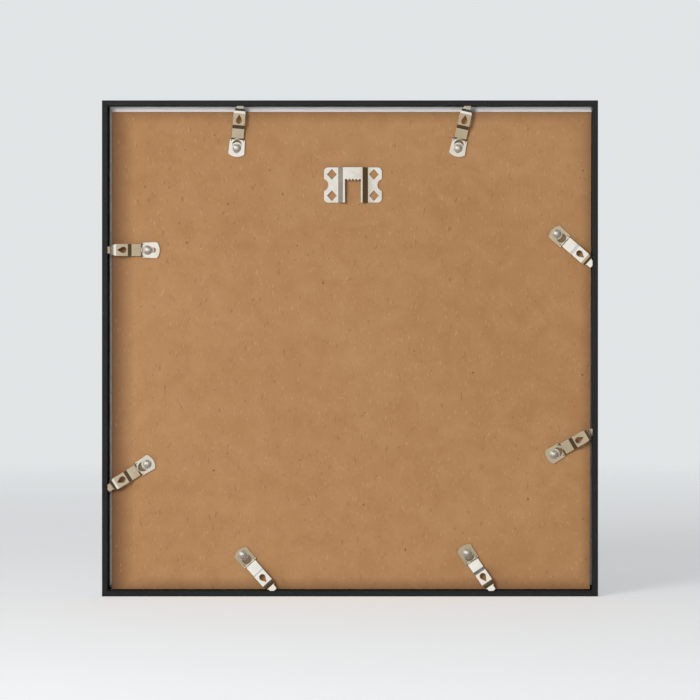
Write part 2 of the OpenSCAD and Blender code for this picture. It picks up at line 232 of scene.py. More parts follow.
@dataclass(frozen=True)
class EffectGroups:
    """Shader node groups that several finishes share."""

    flecks: bpy.types.NodeTree
    marks: bpy.types.NodeTree
    worn: bpy.types.NodeTree

    @classmethod
    def build(cls) -> "EffectGroups":
        """Builds every group once."""
        return cls(cls._flecks(), cls._marks(), cls._worn())

    @staticmethod
    def _flecks() -> bpy.types.NodeTree:
        """Short fibres or pores that lie along Z, as a mask."""
        nodes = new_group(
            "fibre_flecks",
            Across=900.0,
            Along=260.0,
            Waviness=0.6,
            Threshold=0.62,
            Softness=0.08,
        )
        source = nodes.add("NodeGroupInput").outputs
        scale = nodes.add(
            "ShaderNodeCombineXYZ", {0: source["Across"], 1: source["Across"], 2: source["Along"]}
        )
        place = nodes.add(
            "ShaderNodeVectorMath", {0: source["Vector"], 1: scale.outputs[0]}, operation="MULTIPLY"
        )
        noise = nodes.add(
            "ShaderNodeTexNoise",
            {
                "Vector": place.outputs[0],
                "Scale": 1.0,
                "Detail": 2.0,
                "Distortion": source["Waviness"],
            },
        )
        top = nodes.math("ADD", source["Threshold"], source["Softness"])
        mask = nodes.span(noise.outputs["Fac"], source["Threshold"], top)
        nodes.add("NodeGroupOutput", {"Mask": mask})
        return nodes.tree

    @staticmethod
    def _marks() -> bpy.types.NodeTree:
        """Smudges and hair scratches of handling, as a mask."""
        nodes = new_group(
            "handling_marks", Smudge_Scale=120.0, Scratch_Scale=400.0, Scratches=0.5
        )
        source = nodes.add("NodeGroupInput").outputs
        smudge = nodes.add(
            "ShaderNodeTexNoise",
            {
                "Vector": source["Vector"],
                "Scale": source["Smudge Scale"],
                "Detail": 3.0,
                "Distortion": 0.4,
            },
        )
        lean = nodes.add(
            "ShaderNodeMapping",
            {"Vector": source["Vector"], "Rotation": (0.3, 0.9, 0.2), "Scale": (6.0, 1.0, 0.12)},
        )
        line = nodes.add(
            "ShaderNodeTexNoise",
            {"Vector": lean.outputs[0], "Scale": source["Scratch Scale"], "Detail": 1.0},
        )
        thin = nodes.span(line.outputs["Fac"], low=0.64, high=0.7)
        scratch = nodes.math("MULTIPLY", thin, source["Scratches"])
        soft = nodes.span(smudge.outputs["Fac"], low=0.35, high=0.7)
        both = nodes.math("ADD", soft, scratch, clamp=True)
        nodes.add("NodeGroupOutput", {"Mask": both})
        return nodes.tree

    @staticmethod
    def _worn() -> bpy.types.NodeTree:
        """Mask of the sharp edges, broken up by noise."""
        nodes = new_group("worn_edges", Width=0.4 * MM, Break_Up=300.0)
        source = nodes.add("NodeGroupInput").outputs
        soft = nodes.add("ShaderNodeBevel", {"Radius": source["Width"]}, samples=4)
        flat = nodes.add("ShaderNodeNewGeometry")
        match = nodes.add(
            "ShaderNodeVectorMath",
            {0: soft.outputs[0], 1: flat.outputs["Normal"]},
            operation="DOT_PRODUCT",
        )
        edge = nodes.span(match.outputs["Value"], low=0.99, high=0.8)
        noise = nodes.add(
            "ShaderNodeTexNoise", {"Vector": source["Vector"], "Scale": source["Break Up"]}
        )
        broken = nodes.span(noise.outputs["Fac"], low=0.4, high=0.65)
        nodes.add("NodeGroupOutput", {"Mask": nodes.math("MULTIPLY", edge, broken)})
        return nodes.tree


class Finish:
    """A material on the Principled shader, with its pattern on Object coordinates."""

    def __init__(self, name: str, **constants: Any) -> None:
        """Starts the material.

        Args:
            name: The material's name.
            constants: Principled inputs that are the same all over, with underscores for spaces.
        """
        self.material = bpy.data.materials.new(name)
        self.material.use_nodes = True
        self.nodes = NodeBuilder(self.material.node_tree)
        self.shader = self.material.node_tree.nodes["Principled BSDF"]
        self.coordinates = self.nodes.add("ShaderNodeTexCoord").outputs["Object"]
        for label, value in constants.items():
            self.shader.inputs[spaced(label)].default_value = value

    def group(self, tree: bpy.types.NodeTree, **values: Any) -> Any:
        """Places a shared effect on this material's coordinates.

        Args:
            tree: The effect's node group.
            values: The group's inputs, with underscores for spaces.

        Returns:
            The group node's outputs.
        """
        node = self.nodes.add("ShaderNodeGroup", node_tree=tree)
        self.nodes.tree.links.new(self.coordinates, node.inputs["Vector"])
        for label, value in values.items():
            node.inputs[spaced(label)].default_value = value
        return node.outputs

    def noise(self, scale: float, detail: float = 2.0, distortion: float = 0.0) -> Any:
        """Adds noise on the material's coordinates and returns its value."""
        node = self.nodes.add(
            "ShaderNodeTexNoise",
            {
                "Vector": self.coordinates,
                "Scale": scale,
                "Detail": detail,
                "Distortion": distortion,
            },
        )
        return node.outputs["Fac"]

    def cloud(self, scale: float, detail: float = 2.0, low: float = 0.0, high: float = 1.0) -> Any:
        """Adds noise whose usual span is stretched from low to high, and returns its value."""
        return self.nodes.span(self.noise(scale, detail), *NOISE_SPAN, low, high)

    def join(self, **sockets: Any) -> None:
        """Joins sockets to the Principled inputs that are named, with underscores for spaces."""
        for label, socket in sockets.items():
            self.nodes.tree.links.new(socket, self.shader.inputs[spaced(label)])

    def bump(self, height: Any, distance: float) -> None:
        """Raises the surface by a height map, at most by a distance in metres."""
        node = self.nodes.add(
            "ShaderNodeBump", {"Height": height, "Distance": distance, "Strength": 1.0}
        )
        self.join(Normal=node.outputs[0])


@dataclass(frozen=True)
class CoatedMetal:
    """Satin black coat on the rails and keys."""

    name: str
    colour: Colour
    worn: Colour = (0.07, 0.07, 0.074)
    roughness: Pair = (0.4, 0.54)
    worn_w: float = 0.3 * MM
    worn_share: float = 0.6
    dust_share: float = 0.35
    cloud_gain: float = 1.25
    grain_h: float = 0.02 * MM

    def build(self, effects: EffectGroups) -> bpy.types.Material:
        """Builds the material.

        Args:
            effects: The shared node groups.

        Returns:
            The material.
        """
        finish = Finish(self.name, Metallic=0.0, Specular_IOR_Level=0.3)
        nodes = finish.nodes
        marks = finish.group(effects.marks, Smudge_Scale=60.0, Scratch_Scale=220.0, Scratches=0.35)
        edges = finish.group(effects.worn, Width=self.worn_w, Break_Up=250.0)["Mask"]
        fine = finish.noise(scale=900.0, detail=1.0)
        dust = nodes.span(fine, low=0.66, high=0.74, to_high=self.dust_share)
        lighter = [part * self.cloud_gain for part in self.colour]
        coat = nodes.mix(finish.cloud(scale=18.0), self.colour, lighter)
        wear = nodes.math("MAXIMUM", dust, nodes.math("MULTIPLY", edges, self.worn_share))
        finish.join(
            Base_Color=nodes.mix(wear, coat, self.worn),
            Roughness=nodes.span(marks["Mask"], 0.0, 1.0, *self.roughness),
        )
        finish.bump(finish.noise(scale=1400.0), self.grain_h)
        return finish.material


@dataclass(frozen=True)
class PlatedSteel:
    """Bright plating on rolled steel sheet."""

    name: str
    colour: Colour
    dull: Colour
    roughness: Pair = (0.1, 0.2)
    metallic: float = 1.0
    wave_h: float = 0.007 * MM

    def build(self, effects: EffectGroups) -> bpy.types.Material:
        """Builds the material.

        Args:
            effects: The shared node groups.

        Returns:
            The material.
        """
        finish = Finish(self.name, Metallic=self.metallic)
        nodes = finish.nodes
        marks = finish.group(effects.marks, Smudge_Scale=120.0, Scratch_Scale=500.0, Scratches=0.35)
        cloud = nodes.span(finish.noise(scale=140.0, distortion=0.3), low=0.3, high=0.75)
        finish.join(
            Base_Color=nodes.mix(cloud, self.colour, self.dull),
            Roughness=nodes.span(marks["Mask"], 0.0, 1.0, *self.roughness),
        )
        finish.bump(finish.noise(scale=110.0, detail=1.0), self.wave_h)
        return finish.material


@dataclass(frozen=True)
class Hardboard:
    """Smooth brown hardboard with short fibres, mottling, dark specks, and painted shade at its
    edges and under the clips' keyholes.
    """

    # Centres of the painted shade under the clips' keyholes.
    keyhole_shades: tuple[Vector, ...]
    pale: Colour = (0.415, 0.222, 0.097)
    deep: Colour = (0.335, 0.163, 0.062)
    fleck: Colour = (0.52, 0.31, 0.15)
    dark: Colour = (0.17, 0.08, 0.034)
    keyhole_shade_tone: Colour = (0.125, 0.098, 0.062)
    patch_share: float = 0.45
    cloud_share: float = 0.55
    light_share: float = 0.45
    fine_share: float = 0.25
    shade_share: float = 0.4
    speck_scale: float = 110.0
    # Painted shade along the board's edges, in the dark tone, standing for the rails' shadow; widest
    # at the left.
    edge_shade_from: float = 2 * MM
    edge_shade_w: float = 8 * MM
    edge_shade_depth: float = 0.55
    edge_shade_ragged: float = 4 * MM
    left_edge_shade_w: float = 14 * MM
    left_edge_shade_ragged: float = 2 * MM
    # Painted shade on the board under each clip's keyhole, standing for the shadow of its raised
    # head.
    keyhole_shade_r: float = 3.7 * MM
    keyhole_shade_soft: float = 0.9 * MM
    keyhole_shade_depth: float = 0.78
    tooth_share: float = 0.7
    tooth_h: float = 0.05 * MM

    def _painted_edge_shade(self, finish: Finish) -> Any:
        """Share of painted rail shade towards the board's edges, widest and darkest at its left
        edge.
        """
        nodes = finish.nodes
        low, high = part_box("backing_board")
        place = nodes.add("ShaderNodeSeparateXYZ", {0: finish.coordinates}).outputs
        left = nodes.math("SUBTRACT", high.x, place["X"])
        right = nodes.math("SUBTRACT", place["X"], low.x)
        above = nodes.math("SUBTRACT", high.z, place["Z"])
        below = nodes.math("SUBTRACT", place["Z"], low.z)
        near = nodes.math("MINIMUM", right, nodes.math("MINIMUM", above, below))
        cloud = finish.noise(scale=60.0, detail=3.0)
        near = nodes.math("MULTIPLY_ADD", cloud, self.edge_shade_ragged, near)
        left = nodes.math("MULTIPLY_ADD", cloud, self.left_edge_shade_ragged, left)
        end, left_shade_end = self.edge_shade_from + self.edge_shade_w, self.edge_shade_from + self.left_edge_shade_w
        edges = nodes.span(near, self.edge_shade_from, end, self.edge_shade_depth, 0.0)
        left_shade = nodes.span(left, self.edge_shade_from, left_shade_end, 1.0, 0.0)
        return nodes.math("MAXIMUM", edges, left_shade)

    def _painted_keyhole_shade(self, finish: Finish) -> Any:
        """Share of painted shade on the board under each clip's keyhole, where the clip's head
        shades it.
        """
        mask = 0.0
        for spot in self.keyhole_shades:
            away = finish.nodes.add(
                "ShaderNodeVectorMath", {0: finish.coordinates, 1: spot}, operation="DISTANCE"
            )
            inner = self.keyhole_shade_r - self.keyhole_shade_soft
            near = finish.nodes.span(away.outputs["Value"], self.keyhole_shade_r, inner, 0.0, self.keyhole_shade_depth)
            mask = finish.nodes.math("MAXIMUM", mask, near)
        return mask

    def _specks(self, finish: Finish) -> Any:
        """Mask of small dots in a few of the cells of a pattern."""
        nodes = finish.nodes
        cells = nodes.add(
            "ShaderNodeTexVoronoi",
            {"Vector": finish.coordinates, "Scale": self.speck_scale, "Randomness": 1.0},
        )
        dot = nodes.span(cells.outputs["Distance"], low=0.1, high=0.05)
        draw = nodes.add("ShaderNodeSeparateColor", {0: cells.outputs["Color"]}).outputs[0]
        return nodes.math("MULTIPLY", dot, nodes.span(draw, low=0.86, high=0.9))

    def build(self, effects: EffectGroups) -> bpy.types.Material:
        """Builds the material.

        Args:
            effects: The shared node groups.

        Returns:
            The material.
        """
        finish = Finish("hardboard", Metallic=0.0, Specular_IOR_Level=0.25)
        nodes = finish.nodes
        wide = finish.noise(scale=9.0, detail=3.0, distortion=0.3)
        close = finish.noise(scale=75.0, detail=4.0, distortion=0.6)
        patch = nodes.math("MULTIPLY", nodes.span(wide, *NOISE_SPAN), self.patch_share)
        cloud = nodes.math("MULTIPLY", nodes.span(close, low=0.3, high=0.72), self.cloud_share)
        colour = nodes.mix(nodes.math("ADD", patch, cloud), self.pale, self.deep)
        light = finish.group(
            effects.flecks, Across=850.0, Along=300.0, Threshold=0.61, Softness=0.1
        )
        fine = finish.group(
            effects.flecks, Across=2300.0, Along=800.0, Threshold=0.5, Softness=0.3
        )
        shade = finish.group(
            effects.flecks, Across=520.0, Along=240.0, Threshold=0.66, Softness=0.07
        )
        layers = (
            (nodes.math("MULTIPLY", light["Mask"], self.light_share), self.fleck),
            (nodes.math("MULTIPLY", fine["Mask"], self.fine_share), self.deep),
            (nodes.math("MULTIPLY", shade["Mask"], self.shade_share), self.dark),
            (self._specks(finish), self.dark),
            # Painted shade of the rails along the board's edges.
            (self._painted_edge_shade(finish), self.dark),
            # Painted shade under each clip's keyhole.
            (self._painted_keyhole_shade(finish), self.keyhole_shade_tone),
        )
        for share, tone in layers:
            colour = nodes.mix(share, colour, tone)
        finish.join(Base_Color=colour, Roughness=finish.cloud(scale=400.0, low=0.55, high=0.75))
        tooth = nodes.math(
            "MULTIPLY", finish.noise(scale=1600.0, detail=3.0), self.tooth_share
        )
        finish.bump(nodes.math("ADD", light["Mask"], tooth), self.tooth_h)
        return finish.material


@dataclass(frozen=True)
class Fibre:
    """Raised fibres or sunk specks of the hardboard, toned by their own attribute."""

    name: str
    first: Colour
    second: Colour

    def build(self) -> bpy.types.Material:
        """Builds the material and returns it."""
        finish = Finish(self.name, Metallic=0.0, Specular_IOR_Level=0.2, Roughness=0.7)
        nodes = finish.nodes
        tone = nodes.add("ShaderNodeAttribute", attribute_name="tone").outputs["Fac"]
        grain = finish.cloud(scale=1800.0, low=-0.15, high=0.15)
        colour = nodes.mix(nodes.math("ADD", tone, grain, clamp=True), self.first, self.second)
        finish.join(Base_Color=colour)
        return finish.material


@dataclass(frozen=True)
class Pulp:
    """Paper or mat board: pale pulp with faint fibres."""

    name: str
    colour: Colour
    fibre: Colour
    tooth_h: float
    fibre_share: float = 0.5
    cloud_share: float = 0.5

    def build(self, effects: EffectGroups) -> bpy.types.Material:
        """Builds the material.

        Args:
            effects: The shared node groups.

        Returns:
            The material.
        """
        finish = Finish(self.name, Metallic=0.0, Specular_IOR_Level=0.2)
        nodes = finish.nodes
        fibres = finish.group(
            effects.flecks, Across=700.0, Along=500.0, Threshold=0.55, Softness=0.2
        )
        fibres = nodes.math("MULTIPLY", fibres["Mask"], self.fibre_share)
        cloud = finish.cloud(scale=30.0, detail=3.0, high=self.cloud_share)
        share = nodes.math("MAXIMUM", fibres, cloud)
        finish.join(
            Base_Color=nodes.mix(share, self.colour, self.fibre),
            Roughness=finish.cloud(scale=500.0, low=0.75, high=0.9),
        )
        finish.bump(finish.noise(scale=900.0, detail=4.0), self.tooth_h)
        return finish.material


@dataclass(frozen=True)
class Glass:
    """Clear float glass with a trace of wiping."""

    tint: Colour = (0.97, 0.99, 0.98)
    wiped_roughness: float = 0.035

    def build(self, effects: EffectGroups) -> bpy.types.Material:
        """Builds the material.

        Args:
            effects: The shared node groups.

        Returns:
            The material.
        """
        finish = Finish(
            "clear_glass",
            Metallic=0.0,
            Transmission_Weight=1.0,
            IOR=1.5,
            Base_Color=(*self.tint, 1.0),
        )
        marks = finish.group(effects.marks, Smudge_Scale=14.0, Scratch_Scale=60.0, Scratches=0.2)
        wiped = finish.nodes.span(marks["Mask"], 0.0, 1.0, 0.0, self.wiped_roughness)
        finish.join(Roughness=wiped)
        return finish.material


def add_object(name: str, data: bpy.types.ID) -> bpy.types.Object:
    """Adds an object to the scene, at the origin, and returns it."""
    added = bpy.data.objects.new(name, data)
    bpy.context.scene.collection.objects.link(added)
    return added


def plain_mesh(name: str, shape: bmesh.types.BMesh) -> bpy.types.Mesh:
    """Turns a shape into a new mesh and frees the shape."""
    mesh = bpy.data.meshes.new(name)
    shape.to_mesh(mesh)
    shape.free()
    return mesh


def quad(name: str, corners: Sequence[Sequence[float]]) -> bpy.types.Mesh:
    """Makes a mesh of one face with four corners."""
    mesh = bpy.data.meshes.new(name)
    mesh.from_pydata(corners, [], [(0, 1, 2, 3)])
    return mesh


def cad_copy(node: str, name: str) -> bpy.types.Object:
    """Copies a CAD node's mesh and merges its loose triangles.

    Args:
        node: The CAD node.
        name: Name of the new object.

    Returns:
        The copy, linked to the scene.
    """
    shape = bmesh.new()
    shape.from_mesh(frame["nodes"][node].data)
    bmesh.ops.remove_doubles(shape, verts=shape.verts, dist=SOLID_WELD)
    bmesh.ops.dissolve_limit(
        shape, angle_limit=math.radians(FLAT_DEGREES), verts=shape.verts, edges=shape.edges
    )
    return add_object(name, plain_mesh(name, shape))


def break_edges(piece: bpy.types.Object, width: float, angle: float = 30.0) -> None:
    """Bevels a piece's sharp edges and shades it smooth between them.

    Args:
        piece: The piece.
        width: Width of the bevel in metres.
        angle: Least angle in degrees at which an edge counts as sharp.
    """
    bevel = piece.modifiers.new("broken_edges", "BEVEL")
    bevel.width = width
    bevel.segments = BEVEL_STEPS
    bevel.limit_method = "ANGLE"
    bevel.angle_limit = math.radians(angle)
    bevel.use_clamp_overlap = False
    bevel.harden_normals = True
    piece.data.shade_smooth()
    piece.data.set_sharp_from_angle(angle=math.radians(angle))


def settle(piece: bpy.types.Object) -> bpy.types.Object:
    """Turns what a piece's modifiers make into its plain mesh and removes them.

    Args:
        piece: The piece.

    Returns:
        The same piece.
    """
    evaluated = piece.evaluated_get(bpy.context.evaluated_depsgraph_get())
    mesh = bpy.data.meshes.new_from_object(evaluated)
    mesh.name = piece.name
    piece.modifiers.clear()
    piece.data = mesh
    return piece


def dress(piece: bpy.types.Object, material: bpy.types.Material) -> None:
    """Gives a piece its one material."""
    piece.data.materials.clear()
    piece.data.materials.append(material)


def stand_for(piece: bpy.types.Object, node: str) -> None:
    """Lets a piece ride on a CAD node's body and hide the node.

    Args:
        piece: The finished piece.
        node: The CAD node that it replaces.
    """
    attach(piece, frame["nodes"][node]["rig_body"])
    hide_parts(node)
    LOG.info("%s: %d faces, stands for %s", piece.name, len(piece.data.polygons), node)


def fillet(corners: Sequence[Corner], steps: int, closed: bool) -> list[Point]:
    """Rounds the corners of a line.

    Args:
        corners: The line's corners, each with its radius. Zero keeps it sharp.
        steps: Straight pieces in each rounded corner.
        closed: Whether the line ends where it starts.

    Returns:
        The points of the rounded line.
    """
    line: list[Point] = []
    count = len(corners)
    for k, (corner, radius) in enumerate(corners):
        if radius == 0 or (not closed and k in (0, count - 1)):
            line.append(corner)
            continue
        here = Vector(corner)
        back = (Vector(corners[k - 1][0]) - here).normalized()
        ahead = (Vector(corners[(k + 1) % count][0]) - here).normalized()
        half = back.angle(ahead) / 2
        reach = radius / math.tan(half)
        middle = here + (back + ahead).normalized() * (radius / math.sin(half))
        start = here + back * reach - middle
        end = here + ahead * reach - middle
        turn = math.atan2(start.cross(end), start.dot(end))
        for step in range(steps + 1):
            point = middle + Matrix.Rotation(turn * step / steps, 2) @ start
            line.append((point.x, point.y))
    return line


def arc(middle: float, radius: float, angles: Iterable[float]) -> list[Point]:
    """Points of an arc round a place on the X axis, one at each angle."""
    return [(middle + radius * math.cos(a), radius * math.sin(a)) for a in angles]


@dataclass(frozen=True)
class SheetForm:
    """A flat blank with holes and the line that it is bent to.

    The blank lies in X and Y. The line gives its height over X, and is straight between points.
    """

    outline: list[Point]
    holes: list[list[Point]]
    line: list[Point]

    def height(self, x: float) -> float:
        """Height of the bent sheet's underside at a place along it."""
        for (x0, z0), (x1, z1) in zip(self.line, self.line[1:]):
            if x <= x1:
                return z0 + (z1 - z0) * (x - x0) / (x1 - x0)
        return self.line[-1][1]

    def blank(self, name: str) -> bpy.types.Mesh:
        """Builds the flat blank, cut across at each point of the line.

        Args:
            name: Name of the mesh.

        Returns:
            The mesh, with each vertex's height in the attribute "rise".
        """
        shape = bmesh.new()
        edges = []
        for loop in (self.outline, *self.holes):
            corners = [shape.verts.new((x, y, 0.0)) for x, y in loop]
            edges += [shape.edges.new(pair) for pair in zip(corners, corners[1:] + corners[:1])]
        bmesh.ops.triangle_fill(shape, use_beauty=True, edges=edges, normal=(0, 0, 1))
        for x, _ in self.line[1:-1]:
            bmesh.ops.bisect_plane(
                shape,
                geom=[*shape.verts, *shape.edges, *shape.faces],
                plane_co=(x, 0, 0),
                plane_no=(1, 0, 0),
                dist=NARROW_WELD,
            )
        bmesh.ops.remove_doubles(shape, verts=shape.verts, dist=SHEET_WELD)
        bmesh.ops.recalc_face_normals(shape, faces=shape.faces)
        if sum(face.normal.z for face in shape.faces) < 0:
            bmesh.ops.reverse_faces(shape, faces=shape.faces)
        mesh = plain_mesh(name, shape)
        rise = mesh.attributes.new("rise", "FLOAT", "POINT")
        rise.data.foreach_set("value", [self.height(v.co.x) for v in mesh.vertices])
        return mesh


class GeometryTree:
    """A Geometry Nodes tree with named inputs that can be put on objects."""

    def __init__(self, name: str, **kinds: str) -> None:
        """Starts the tree.

        Args:
            name: The tree's name.
            kinds: Kind of each input between Geometry and Material, with underscores for spaces.
        """
        self.tree = bpy.data.node_groups.new(name, "GeometryNodeTree")
        face = self.tree.interface
        self.ids = {}
        face.new_socket(name="Geometry", in_out="INPUT", socket_type="NodeSocketGeometry")
        for label, kind in (*kinds.items(), ("Material", "Material")):
            socket = face.new_socket(
                name=spaced(label), in_out="INPUT", socket_type=f"NodeSocket{kind}"
            )
            self.ids[label] = socket.identifier
        face.new_socket(name="Geometry", in_out="OUTPUT", socket_type="NodeSocketGeometry")
        self.nodes = NodeBuilder(self.tree)
        self.source = self.nodes.add("NodeGroupInput").outputs

    def close(self, geometry: Any) -> None:
        """Ends the tree in Realize Instances and Set Material.

        Args:
            geometry: The socket with the finished geometry.
        """
        real = self.nodes.add("GeometryNodeRealizeInstances", {"Geometry": geometry})
        dressed = self.nodes.add(
            "GeometryNodeSetMaterial",
            {"Geometry": real.outputs[0], "Material": self.source["Material"]},
        )
        self.nodes.add("NodeGroupOutput", {"Geometry": dressed.outputs[0]})

    def close_placed(self, geometry: Any) -> None:
        """Turns and places the geometry by the tree's inputs and ends the tree."""
        placed = self.nodes.add(
            "GeometryNodeTransform",
            {
                "Geometry": geometry,
                "Translation": self.source["Place"],
                "Rotation": self.source["Turn"],
            },
        )
        self.close(placed.outputs[0])

    def apply(self, name: str, mesh: bpy.types.Mesh, **values: Any) -> bpy.types.Object:
        """Puts the tree on a new object.

        Args:
            name: Name of the object.
            mesh: The mesh that feeds the tree.
            values: The tree's inputs, with underscores for spaces.

        Returns:
            The object, with the modifier still live.
        """
        piece = add_object(name, mesh)
        modifier = piece.modifiers.new(self.tree.name, "NODES")
        modifier.node_group = self.tree
        for label, value in values.items():
            modifier[self.ids[label]] = value
        return piece


def bent_sheet_tree() -> GeometryTree:
    """Tree that bends a blank by its rise, gives it its thickness and puts it in place."""
    made = GeometryTree("bent_sheet", Thickness="Float", Place="Vector", Turn="Vector")
    nodes, source = made.nodes, made.source
    rise = nodes.add("GeometryNodeInputNamedAttribute", {"Name": "rise"}, data_type="FLOAT")
    lift = nodes.add("ShaderNodeCombineXYZ", {2: rise.outputs["Attribute"]})
    bent = nodes.add(
        "GeometryNodeSetPosition", {"Geometry": source["Geometry"], "Offset": lift.outputs[0]}
    )
    through = nodes.add("ShaderNodeCombineXYZ", {2: source["Thickness"]})
    top = nodes.add(
        "GeometryNodeExtrudeMesh",
        {
            "Mesh": bent.outputs[0],
            "Offset": through.outputs[0],
            "Offset Scale": 1.0,
            "Individual": False,
        },
        mode="FACES",
    )
    under = nodes.add("GeometryNodeFlipFaces", {"Mesh": bent.outputs[0]})
    both = nodes.add("GeometryNodeJoinGeometry", {0: under.outputs[0]})
    nodes.tree.links.new(top.outputs[0], both.inputs[0])
    closed = nodes.add(
        "GeometryNodeMergeByDistance", {"Geometry": both.outputs[0], "Distance": NARROW_WELD}
    )
    made.close_placed(closed.outputs[0])
    return made


def turned_tree() -> GeometryTree:
    """Tree that spins a half section, drawn from its top with X outwards and Y down."""
    made = GeometryTree(
        "turned_part", Sides="Int", Axis_Radius="Float", Place="Vector", Turn="Vector"
    )
    nodes, source = made.nodes, made.source
    section = nodes.add("GeometryNodeMeshToCurve", {0: source["Geometry"]})
    axis = nodes.add(
        "GeometryNodeCurvePrimitiveCircle",
        {"Resolution": source["Sides"], "Radius": source["Axis Radius"]},
    )
    spun = nodes.add(
        "GeometryNodeCurveToMesh", {"Curve": axis.outputs[0], "Profile Curve": section.outputs[0]}
    )
    weld_radii = 3.0
    near = nodes.math("MULTIPLY", source["Axis Radius"], weld_radii)
    closed = nodes.add(
        "GeometryNodeMergeByDistance", {"Geometry": spun.outputs[0], "Distance": near}
    )
    made.close_placed(closed.outputs[0])
    return made


def scatter_tree() -> GeometryTree:
    """Tree that scatters slim grains over a patch, each with a random tone."""
    made = GeometryTree(
        "scattered_grains",
        Density="Float",
        Size="Vector",
        Least="Float",
        Lean="Float",
        Seed="Int",
    )
    nodes, source = made.nodes, made.source
    points = nodes.add(
        "GeometryNodeDistributePointsOnFaces",
        {"Mesh": source["Geometry"], "Density": source["Density"], "Seed": source["Seed"]},
    )
    grain = nodes.add("GeometryNodeMeshUVSphere", {"Segments": 6, "Rings": 4, "Radius": 0.5})
    share = nodes.add(
        "FunctionNodeRandomValue", {2: source["Least"], 3: 1.0, "Seed": source["Seed"]}
    )
    size = nodes.add(
        "ShaderNodeVectorMath", {0: source["Size"], "Scale": share.outputs[1]}, operation="SCALE"
    )
    back = nodes.math("MULTIPLY", source["Lean"], -1.0)
    turn = nodes.add("FunctionNodeRandomValue", {2: back, 3: source["Lean"], "Seed": 7})
    lean = nodes.add("ShaderNodeCombineXYZ", {1: turn.outputs[1]})
    grains = nodes.add(
        "GeometryNodeInstanceOnPoints",
        {
            "Points": points.outputs[0],
            "Instance": grain.outputs["Mesh"],
            "Rotation": lean.outputs[0],
            "Scale": size.outputs[0],
        },
    )
    tone = nodes.add("FunctionNodeRandomValue", {2: 0.0, 3: 1.0, "Seed": 3})
    toned = nodes.add(
        "GeometryNodeStoreNamedAttribute",
        {"Geometry": grains.outputs[0], "Name": "tone", "Value": tone.outputs[1]},
        data_type="FLOAT",
        domain="INSTANCE",
    )
    made.close(toned.outputs[0])
    return made


@dataclass(frozen=True)
class RailSet:
    """The four mitred rails and the keys in their corners."""

    rails: tuple[str, ...] = ("rail_top", "rail_bottom", "rail_left", "rail_right")
    keys: tuple[str, ...] = (
        "corner_key_top_left",
        "corner_key_top_right",
        "corner_key_bottom_left",
        "corner_key_bottom_right",
    )
    rail_edge: float = 0.14 * MM
    key_edge: float = 0.1 * MM

    def build(self, coat: bpy.types.Material, casting: bpy.types.Material) -> None:
        """Builds the rails and keys.

        Args:
            coat: Material of the rails.
            casting: Material of the keys.
        """
        for node in self.rails:
            self._piece(node, self.rail_edge, coat, Slot.FRAME)
        for node in self.keys:
            self._piece(node, self.key_edge, casting, Slot.KEY)

    @staticmethod
    def _piece(node: str, edge: float, material: bpy.types.Material, slot: Slot) -> None:
        """Builds one rail or key."""
        piece = cad_copy(node, f"{node}_coated")
        break_edges(piece, edge)
        dress(settle(piece), material)
        stand_for(piece, node)


@dataclass(frozen=True)
class PictureStack:
    """Glazing, mat and insert sheet. The last two keep the shapes of their solids."""

    glass: Glass = Glass()
    mat: Pulp = Pulp("mat_board", (0.86, 0.85, 0.81), (0.8, 0.78, 0.73), 0.06 * MM)
    sheet: Pulp = Pulp("insert_paper", (0.93, 0.91, 0.91), (0.88, 0.87, 0.87), 0.03 * MM)
    glass_gap: float = 0.03 * MM
    glass_edge: float = 0.15 * MM

    def build(self, effects: EffectGroups) -> None:
        """Builds the glazing and dresses the mat and the sheet.

        Args:
            effects: The shared node groups.
        """
        self._glazing(self.glass.build(effects))
        layers = (("mat", Slot.MAT, self.mat), ("insert_sheet", Slot.PAPER, self.sheet))
        for node, slot, pulp in layers:
            dress(frame["nodes"][node], pulp.build(effects))
            LOG.info("%s: dressed", node)

    def _glazing(self, material: bpy.types.Material) -> None:
        """Builds the glazing with a film of air round it, so that light gets out to the mat."""
        piece = cad_copy("glazing", "glazing_clear")
        low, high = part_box("glazing")
        for vertex in piece.data.vertices:
            vertex.co = [
                min(max(place, least + self.glass_gap), most - self.glass_gap)
                for place, least, most in zip(vertex.co, low, high)
            ]
        break_edges(piece, self.glass_edge)
        dress(settle(piece), material)
        stand_for(piece, "glazing")


@dataclass(frozen=True)
class Grains:
    """Small grains that lie scattered on the board's back."""

    name: str
    finish: Fibre
    size: tuple[float, float, float]
    density: float
    lean: float
    seed: int
    least: float = 0.25

    def build(self, tree: GeometryTree, margin: float) -> None:
        """Scatters the grains and lets them ride with the frame.

        Args:
            tree: The tree that scatters grains.
            margin: Bare width along the board's edges.
        """
        low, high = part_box("backing_board")
        left, right = low.x + margin, high.x - margin
        foot, top = low.z + margin, high.z - margin
        corners = [(left, foot), (left, top), (right, top), (right, foot)]
        material = self.finish.build()
        piece = tree.apply(
            self.name,
            quad(self.name, [(x, high.y, z) for x, z in corners]),
            Density=self.density,
            Size=self.size,
            Least=self.least,
            Lean=self.lean,
            Seed=self.seed,
            Material=material,
        )
        settle(piece).data.shade_smooth()
        dress(piece, material)
        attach(piece, "frame")
        LOG.info("%s: %d faces", self.name, len(piece.data.polygons))


